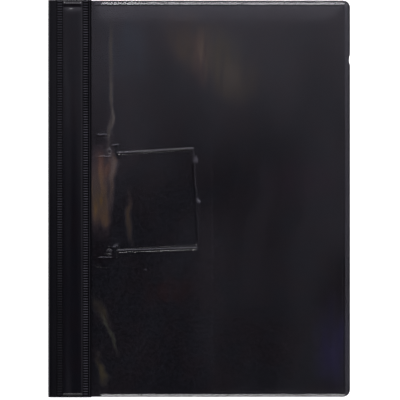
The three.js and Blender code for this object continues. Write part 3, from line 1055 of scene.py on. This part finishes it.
@dataclass
class LabelPocket:
    """Clear strip over the flap between the weld bands, bowed, and pressed down along its mouth at the head."""

    thickness: float = 0.25 * MM
    bow: float = 0.3 * MM
    mouth_lift: float = 0.31 * MM
    mouth_fall: float = 1.3 * MM
    mouth_rise: float = 2.8 * MM
    mouth_stretch: float = 6 * MM
    ripple: float = 0.06 * MM
    ripple_length: float = 46 * MM
    foot_taper: float = 8 * MM
    film: ClearFilm = FilmOnBlack(
        name="label_film",
        haze=0.005,
        haze_spread=0.0006,
        grain=0.0004,
        warp=0.001,
        # Painted highlights: pale bands along the strip's sides and near its ends
        reflection_and_dust_spots=(
            ReflectionAndDustSpot((68.3, 150), (5.5, 260), (0.6, 0.58, 0.7, 1.0), 0.0045),
            ReflectionAndDustSpot((81.5, 150), (5.5, 280), (0.62, 0.6, 0.7, 1.0), 0.0045),
            ReflectionAndDustSpot((69, 395), (5.0, 120), (0.6, 0.58, 0.7, 1.0), 0.005),
            ReflectionAndDustSpot((66, 60), (3.0, 60), (0.62, 0.62, 0.72, 1.0), 0.003),
        ),
    )

    def build(self) -> bpy.types.Object:
        """Builds the strip: a bow across X, soft lengthways ripples and a slope down to the mouth.

        Returns:
            The strip as a closed piece.
        """
        low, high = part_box("label_pocket")
        y = steps((low[1], high[1] - self.mouth_stretch, 150), (high[1] - self.mouth_stretch, high[1], 30))[:, None]
        share = np.linspace(0.0, 1.0, 33)[None, :]
        x = low[0] + (high[0] - low[0]) * share
        arch = 1.0 - (2.0 * share - 1.0) ** 2
        ripple = self.ripple * np.sin(share * math.pi * 4) * np.sin(y / self.ripple_length + 0.7) * arch
        closed = ramp(y, low[1], low[1] + self.foot_taper)
        lip = high[1] - self.mouth_fall
        body = 1.0 - ramp(y, lip - 2 * self.mouth_rise, lip - self.mouth_rise)
        fall = np.clip((high[1] - y) / self.mouth_fall, 0.0, 1.0)
        flat = ramp(np.minimum(share, 1.0 - share), 0.0, 0.12)
        mouth = self.mouth_lift * ramp(y, lip - self.mouth_rise, lip - 0.2 * MM) * fall * flat
        base = low[2] + SKIN_GAP + (self.bow * arch * (0.35 + 0.65 * closed) + ripple * closed) * body + mouth
        ones = np.ones_like(y * x)
        upper = np.stack([x * ones, y * ones, np.minimum(base + self.thickness, high[2]) * ones], axis=2)
        lower = np.stack([x * ones, y * ones, base * ones], axis=2)
        return sheet_body("label_film", upper, lower)

    def dress(self) -> list[bpy.types.Object]:
        """Builds, colours and attaches the label pocket.

        Returns:
            The finished strip.
        """
        strip = self.build()
        strip.data.materials.append(self.film.material())
        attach(strip, "front")
        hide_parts("label_pocket")
        return [strip]


@dataclass
class InnerPocket:
    """Clear pocket on the inside of the back panel, open towards the clip."""

    thickness: float = 0.25 * MM
    weld_inset: float = 2.0 * MM
    corner_radius: float = 4.2 * MM
    corner_stretch: float = 6 * MM
    weld_depth: float = 0.12 * MM
    weld_width: float = 0.5 * MM
    puff: float = 0.35 * MM
    puff_reach: Pair = (3 * MM, 30 * MM)
    puff_length: float = 43 * MM
    film: ClearFilm = ClearFilm(
        name="pocket_film",
        haze=0.0004,
        haze_spread=0.0003,
        roughness=0.2,
        index=1.2,
        warp=0.0,
        # Painted highlight: a pale line along the pocket film's edge
        reflection_and_dust_spots=(ReflectionAndDustSpot((210.6, 200), (2.6, 420), (0.72, 0.68, 0.74, 1.0), 0.014),),
    )

    def build(self) -> bpy.types.Object:
        """Builds the film: flat, a little puffed between its welded sides, with a weld line pressed in.

        Returns:
            The film as a closed piece.
        """
        low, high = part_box("inner_pocket")
        half, centre = (high[1] - low[1]) / 2, (high[1] + low[1]) / 2
        foot, head = low[1] + self.corner_stretch, high[1] - self.corner_stretch
        y = steps((low[1], foot, 16), (foot, head, 90), (head, high[1], 16))[:, None]
        shares = steps((0.0, 0.94, 50), (0.94, 1.0, 16))[None, :]
        edge = corner_edge(y, half, centre, high[0], self.corner_radius)
        x = low[0] + (edge - low[0]) * shares
        yy = y * np.ones_like(x)
        border = np.minimum(edge - x, np.minimum(yy - low[1], high[1] - yy))
        line = self.weld_depth * bell(border - self.weld_inset, self.weld_width)
        puff = self.puff * ramp(border, *self.puff_reach) * (0.6 + 0.4 * np.sin(yy / self.puff_length))
        base = low[2] + SKIN_GAP + puff
        upper = np.stack([x, yy, base + self.thickness - line], axis=2)
        lower = np.stack([x, yy, base], axis=2)
        return sheet_body("pocket_film", upper, lower)

    def dress(self) -> list[bpy.types.Object]:
        """Builds, colours and attaches the inner pocket.

        Returns:
            The finished film.
        """
        pocket = self.build()
        pocket.data.materials.append(self.film.material())
        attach(pocket, "back")
        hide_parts("inner_pocket")
        return [pocket]


@dataclass
class WireClip:
    """Clip: stamped base with softened edges, two domed rivets and the bent wire bail."""

    wire_radius: float = 1.3 * MM
    bend_radius: float = 2.8 * MM
    reach: float = 62.3 * MM
    span: float = 75.8 * MM
    skew: float = math.radians(3.2)
    centre_y: float = -2.25 * MM
    wire_sides: int = 24
    bend_rings: int = 14
    edge_round: float = 0.16 * MM
    rivet_profile_rows: int = 14
    pivot: Pair = (-65 * MM, 4 * MM)
    end_chamfer: Pair = (0.35 * MM, 0.3 * MM)
    head_radius: float = 2.7 * MM
    dome_height: float = 0.84 * MM
    head_rim: float = 0.06 * MM
    tail_radius: float = 2.8 * MM
    tail_height: float = 0.32 * MM
    shank_radius: float = 1.6 * MM
    steel: PaintedSteel = PaintedSteel()
    base_steel: PaintedSteel = PaintedSteel(mirror=0.15, name="pressed_steel")
    rivet_steel: PaintedSteel = PaintedSteel(mirror=0.7, roughness=0.16, name="riveted_steel")

    def bail_corners(self) -> Array:
        """Corners of the bail: a rectangle turned by the skew in plan, between two pins along Y.

        Returns:
            Six points, from the end of the head pin to the end of the foot pin.
        """
        low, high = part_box("clip_bail")
        pivot_x, pivot_z = self.pivot
        rest_z = low[2] + self.wire_radius
        half = self.span / 2
        cosine, sine = math.cos(self.skew), math.sin(self.skew)
        fall = (pivot_z - rest_z) / (self.reach * cosine + half * sine)

        def at(reach: float, across: float) -> Point:
            """Point of the turned rectangle, on the plane that falls from the pivot to the far bar."""
            x = pivot_x + reach * cosine - across * sine
            return (x, self.centre_y + reach * sine + across * cosine, pivot_z - fall * (x - pivot_x))

        offset = half * math.tan(self.skew)
        return np.array(
            [
                (pivot_x, high[1], pivot_z),
                at(offset, half),
                at(self.reach, half),
                at(self.reach, -half),
                at(-offset, -half),
                (pivot_x, low[1], pivot_z),
            ]
        )

    def bent_path(self, corners: Array) -> Array:
        """Path through the corners, each rounded by an arc: centre plus the turned spoke at even angles.

        Args:
            corners: points of shape (n, 3).

        Returns:
            The path's points, with one more near each end for the chamfer.
        """
        points = [corners[:1]]
        for before, corner, after in zip(corners[:-2], corners[1:-1], corners[2:]):
            back = (before - corner) / np.linalg.norm(before - corner)
            ahead = (after - corner) / np.linalg.norm(after - corner)
            half = math.acos(float(np.clip(back @ ahead, -1, 1))) / 2
            middle = (back + ahead) / np.linalg.norm(back + ahead)
            centre = corner + middle * self.bend_radius / math.sin(half)
            first = corner + back * self.bend_radius / math.tan(half) - centre
            last = corner + ahead * self.bend_radius / math.tan(half) - centre
            sweep = math.acos(float(np.clip(first @ last / self.bend_radius**2, -1, 1)))
            turn = np.linspace(0.0, 1.0, self.bend_rings)[:, None]
            arc = (np.sin((1 - turn) * sweep) * first + np.sin(turn * sweep) * last) / math.sin(sweep)
            points.append(centre + arc)
        points.append(corners[-1:])
        path = np.concatenate(points)
        chamfer = self.end_chamfer[0]
        start = path[0] + (path[1] - path[0]) / np.linalg.norm(path[1] - path[0]) * chamfer
        end = path[-1] + (path[-2] - path[-1]) / np.linalg.norm(path[-2] - path[-1]) * chamfer
        return np.concatenate([path[:1], [start], path[1:-1], [end], path[-1:]])

    def build_bail(self) -> bpy.types.Object:
        """Builds the wire: a circle carried along the path, square to it, with chamfered ends.

        Returns:
            The attached wire.
        """
        path = self.bent_path(self.bail_corners())
        tangent = np.empty_like(path)
        forward = np.diff(path, axis=0)
        forward /= np.linalg.norm(forward, axis=1, keepdims=True)
        tangent[1:-1] = forward[1:] + forward[:-1]
        tangent[0], tangent[-1] = forward[0], forward[-1]
        tangent /= np.linalg.norm(tangent, axis=1, keepdims=True)
        upward = np.array([0.0, 0.0, 1.0])
        side = np.cross(tangent, upward)
        side /= np.linalg.norm(side, axis=1, keepdims=True)
        lift = np.cross(side, tangent)
        angle = np.linspace(0.0, 2 * math.pi, self.wire_sides, endpoint=False)
        radius = np.full(len(path), self.wire_radius)
        radius[0] = radius[-1] = self.wire_radius - self.end_chamfer[1]
        ring = np.cos(angle)[None, :, None] * side[:, None, :] + np.sin(angle)[None, :, None] * lift[:, None, :]
        bail = tube_body("bail_wire", path[:, None, :] + radius[:, None, None] * ring)
        recalculate(bail)
        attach(bail, "bail")
        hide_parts("clip_bail")
        return bail

    def build_base(self) -> bpy.types.Object:
        """Copies the stamped base, merges it and rounds its edges a little, as the press leaves them.

        Returns:
            The attached base.
        """
        base = bpy.data.objects.new("base_stamping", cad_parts["clip_base"].data.copy())
        bpy.context.scene.collection.objects.link(base)
        work = bmesh.new()
        work.from_mesh(base.data)
        bmesh.ops.remove_doubles(work, verts=work.verts, dist=0.002 * MM)
        bmesh.ops.dissolve_limit(work, angle_limit=math.radians(1.5), verts=work.verts, edges=work.edges)
        work.to_mesh(base.data)
        work.free()
        base.data.materials.clear()
        rounding = base.modifiers.new("edges", "BEVEL")
        rounding.width, rounding.segments = self.edge_round, 2
        rounding.limit_method, rounding.angle_limit = "ANGLE", math.radians(30)
        rounding.harden_normals = True
        base.data.polygons.foreach_set("use_smooth", np.ones(len(base.data.polygons), bool))
        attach(base, "back")
        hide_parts("clip_base")
        return base

    def build_rivet(self, node: str) -> bpy.types.Object:
        """Builds a rivet: a profile of tail, shank and domed head turned about its own axis.

        Args:
            node: the CAD node that it stands for.

        Returns:
            The attached rivet.
        """
        low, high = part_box(node)
        centre = (low + high) / 2
        foot, axis = low[2], 0.001 * MM
        head_foot = high[2] - self.dome_height - self.head_rim
        dome_foot = head_foot + self.head_rim
        dome = np.linspace(0.0, math.pi / 2, self.rivet_profile_rows)[:-1]
        tail = [
            (axis, foot),
            (self.tail_radius - 0.1 * MM, foot),
            (self.tail_radius, foot + 0.1 * MM),
            (self.tail_radius, foot + self.tail_height),
        ]
        shank = [
            (self.shank_radius, foot + self.tail_height),
            (self.shank_radius, head_foot),
            (self.head_radius - 0.15 * MM, head_foot),
            (self.head_radius, dome_foot),
        ]
        head = [(self.head_radius * math.cos(a), dome_foot + self.dome_height * math.sin(a)) for a in dome]
        profile = np.array([*tail, *shank, *head[1:], (axis, high[2])])
        angle = np.linspace(0.0, 2 * math.pi, 48, endpoint=False)
        ring = np.stack([np.cos(angle), np.sin(angle)], axis=1)
        plan = profile[:, None, :1] * ring[None, :, :]
        height = np.repeat(profile[:, None, 1:], len(angle), axis=1)
        rivet = tube_body("steel_" + node, np.concatenate([plan + np.array(centre[:2]), height], axis=2))
        recalculate(rivet)
        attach(rivet, "back")
        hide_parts(node)
        return rivet

    def dress(self) -> list[bpy.types.Object]:
        """Builds, colours and attaches the clip's pieces.

        Returns:
            The base, the bail and the two rivets.
        """
        base = self.build_base()
        base.data.materials.append(self.base_steel.material())
        bail = self.build_bail()
        bail.data.materials.append(self.steel.material())
        rivets = [self.build_rivet(node) for node in ("rivet_head_end", "rivet_foot_end")]
        rivet_steel = self.rivet_steel.material()
        for rivet in rivets:
            rivet.data.materials.append(rivet_steel)
        made = [base, bail, *rivets]
        return made


def recalculate(piece: bpy.types.Object) -> None:
    """Turns every face of a closed piece outwards.

    Args:
        piece: the piece to change.
    """
    work = bmesh.new()
    work.from_mesh(piece.data)
    bmesh.ops.recalc_face_normals(work, faces=work.faces)
    work.to_mesh(piece.data)
    work.free()


@dataclass(frozen=True)
class SoftBox:
    """One rectangular lamp that faces the folder: its place and size in metres, and its power in watts."""

    name: str
    place: Point
    size: Pair
    power: float

    def build(self) -> None:
        """Adds the lamp to the scene."""
        lamp = bpy.data.lights.new(self.name, "AREA")
        lamp.shape = "RECTANGLE"
        lamp.size, lamp.size_y = self.size
        lamp.energy = self.power
        stand = bpy.data.objects.new(self.name, lamp)
        stand.location = self.place
        stand.rotation_euler = Vector(self.place).to_track_quat("Z", "Y").to_euler()
        bpy.context.scene.collection.objects.link(stand)


@dataclass
class Studio:
    """White table, soft boxes at the head and foot sides, and a camera that looks straight down.

    Each glow of the room starts and ends at a share of the direction's Y or X, and rises evenly between them.
    """

    camera_height: float = 2.0
    sensor: float = 36.0
    sharp_height: float = 1.5 * MM
    floor_size: float = 6.0
    floor_depth: float = 0.05 * MM
    floor_tone: float = 0.85
    floor_lift: float = 0.7
    ambient: float = 0.011
    head_glow: float = 4.7
    head_start: float = 0.006
    head_reach: float = 0.2
    right_glow: float = 0.12
    right_start: float = -0.03
    right_reach: float = 0.12
    corner_glow: float = 6.0
    side_glow: float = 0.9
    side_start: float = 0.15
    side_gain: float = 4.0
    side_head: float = 0.7
    side_least: float = 0.2
    room_tint: Colour = (0.88, 0.84, 1.0, 1.0)
    lamps: tuple[SoftBox, ...] = (
        SoftBox("head_strip", (0.0, 0.86, 1.49), (2.4, 0.16), 9.0),
        SoftBox("foot_strip", (0.0, -0.86, 1.49), (2.4, 0.16), 9.0),
        SoftBox("head_side", (0.0, 1.6, 0.85), (2.4, 0.4), 22.0),
        SoftBox("foot_side", (0.0, -1.7, 0.65), (2.4, 0.6), 7.0),
    )

    def floor_material(self) -> bpy.types.Material:
        """White table that still takes the folder's shadow.

        Returns:
            The material, which the camera sees a little brighter than the light makes it.
        """
        shader = Shader("white_table")
        path = shader.add("LightPath", "Is Camera Ray")
        base = shader.add("BsdfDiffuse", 0, None, Color=grey(self.floor_tone))
        lift = shader.blend(path, grey(0.0), grey(self.floor_lift))
        lit = shader.add("Emission", 0, None, Color=lift, Strength=1.0)
        return shader.finish(shader.add("AddShader", 0, None, i0=base, i1=lit))

    def surroundings(self) -> None:
        """Soft room light: dim straight above, and brighter towards the head side and the right."""
        world = bpy.data.worlds.new("surroundings")
        bpy.context.scene.world = world
        world.use_nodes = True
        room = Nodes(world.node_tree)
        direction = room.add("TexCoord", "Generated")
        right = room.add("SeparateXYZ", "X", None, i0=direction)
        ahead = room.add("SeparateXYZ", "Y", None, i0=direction)
        to_head = (ahead - self.head_start).over(0.0).under(self.head_reach)
        to_right = (right - self.right_start).over(0.0).under(self.right_reach)
        to_side = ((right - self.side_start) * self.side_gain).over(0.0).under(1.0)
        glow = self.ambient + to_head * self.head_glow
        glow = glow + to_right * self.right_glow + to_right * to_head * self.corner_glow
        glow = glow + to_side * (self.side_head - ahead).over(self.side_least) * self.side_glow
        room.close(room.add("Background", 0, None, Color=self.room_tint, Strength=glow), "OutputWorld")

    def build(self) -> None:
        """Builds the table, the lamps, the surroundings and the camera."""
        half = self.floor_size / 2
        corners = [(-half, -half), (half, -half), (half, half), (-half, half)]
        points = np.array([(x, y, -self.floor_depth) for x, y in corners])
        floor = mesh_of("table", points, np.array([[0, 1, 2, 3]]))
        floor.data.materials.append(self.floor_material())
        for lamp in self.lamps:
            lamp.build()
        self.surroundings()
        frame_width = PHOTO_PIXELS * MM_PER_PIXEL * MM
        centre = photo_point(PHOTO_PIXELS / 2, PHOTO_PIXELS / 2)
        lens = bpy.data.cameras.new("camera")
        lens.sensor_width = self.sensor
        lens.lens = self.sensor * (self.camera_height - self.sharp_height) / frame_width
        camera = bpy.data.objects.new("camera", lens)
        camera.location = (centre[0], centre[1], self.camera_height)
        bpy.context.scene.collection.objects.link(camera)
        bpy.context.scene.camera = camera
        bpy.context.scene.view_settings.view_transform = "Standard"


def main() -> None:
    """Builds the studio and every sub-assembly."""
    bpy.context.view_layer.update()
    Studio().build()
    assemblies: list[Callable[[], list[bpy.types.Object]]] = [
        CoverShell().dress,
        WeldBand(Side.SPINE, 6.8 * MM, 4.8 * MM, 4.8 * MM).dress,
        WeldBand(Side.SHEET, 27.0 * MM, 6.95 * MM, 4.8 * MM, 5.6 * MM).dress,
        FrontFilm().dress,
        LabelPocket().dress,
        InnerPocket().dress,
        WireClip().dress,
    ]
    for dress in assemblies:
        for piece in dress():
            LOG.info("%s: %d faces", piece.name, len(piece.data.polygons))


logging.basicConfig(level=logging.INFO, format="%(name)s: %(message)s")
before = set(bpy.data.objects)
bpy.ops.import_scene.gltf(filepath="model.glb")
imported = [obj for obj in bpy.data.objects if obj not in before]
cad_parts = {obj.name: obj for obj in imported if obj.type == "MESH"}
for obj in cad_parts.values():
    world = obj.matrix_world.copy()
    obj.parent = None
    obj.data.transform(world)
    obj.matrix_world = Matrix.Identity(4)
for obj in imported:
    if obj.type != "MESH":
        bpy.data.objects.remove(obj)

if __name__ == "__main__":
    main()
